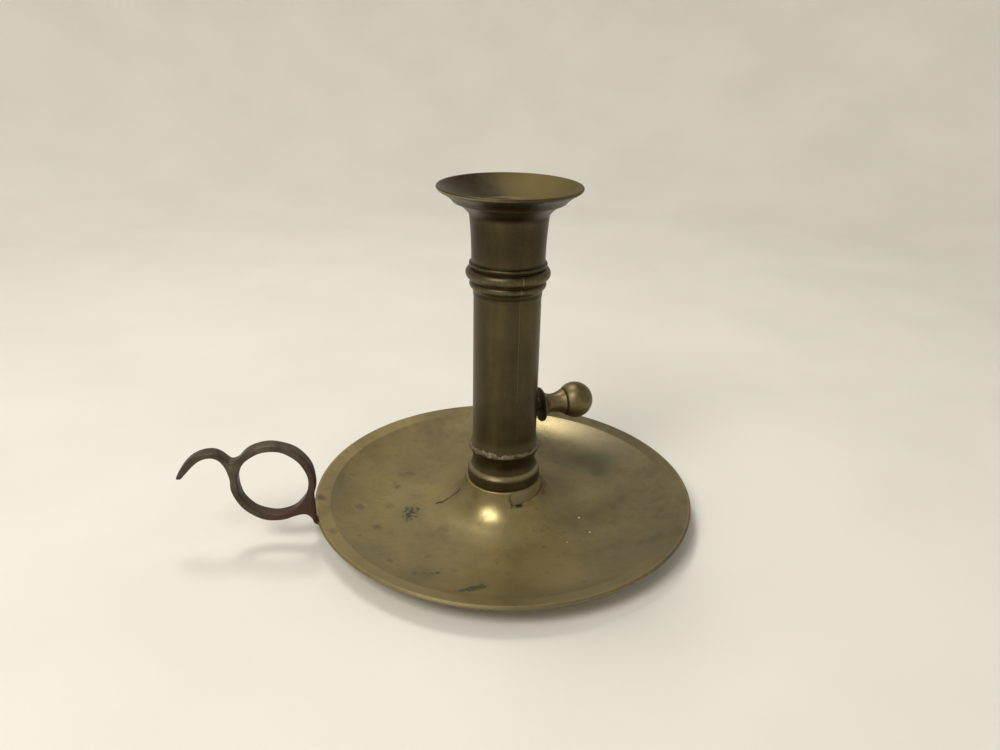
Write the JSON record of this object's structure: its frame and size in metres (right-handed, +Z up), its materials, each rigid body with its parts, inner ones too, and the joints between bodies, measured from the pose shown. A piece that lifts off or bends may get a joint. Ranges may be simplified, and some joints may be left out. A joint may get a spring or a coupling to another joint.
{
  "type": "chamberstick",
  "caption": "Brass chamberstick with a dished drip pan, a turned candle stem with flared lip, a side ejector knob sliding in a slot, and a finger loop with thumb scroll.",
  "frame": {"origin": "on the table plane, under the axis of the stem", "axes": "+Z up the stem, +X along the ejector knob and away from the finger loop"},
  "size_m": [0.1974, 0.15, 0.1307],
  "materials": {
    "pan_brass": "worn satin brass, olive tarnish",
    "stem_brass": "dark brown patina",
    "knob_brass": "brown-gold, polished by handling",
    "ejector_brass": "dull, tarnished",
    "loop_iron": "browned forged iron"
  },
  "bodies": {
    "candlestick": {"drip_pan": "pan_brass", "stem_foot": "stem_brass", "spigot_ring": "pan_brass", "stem_half_slotted": "stem_brass", "stem_half_plain": "stem_brass", "finger_loop": "loop_iron", "loop_rivets": "pan_brass"},
    "ejector": {"knob": "knob_brass", "shank_washer": "ejector_brass", "slide_leaf": "ejector_brass", "pusher_disc": "ejector_brass", "bow_spring": "ejector_brass"}
  },
  "joints": [
    {"name": "ejector_slide", "type": "slide", "parent": "candlestick", "child": "ejector", "axis": [0, 0, 1], "range_m": [0, 0.028]}
  ]
}
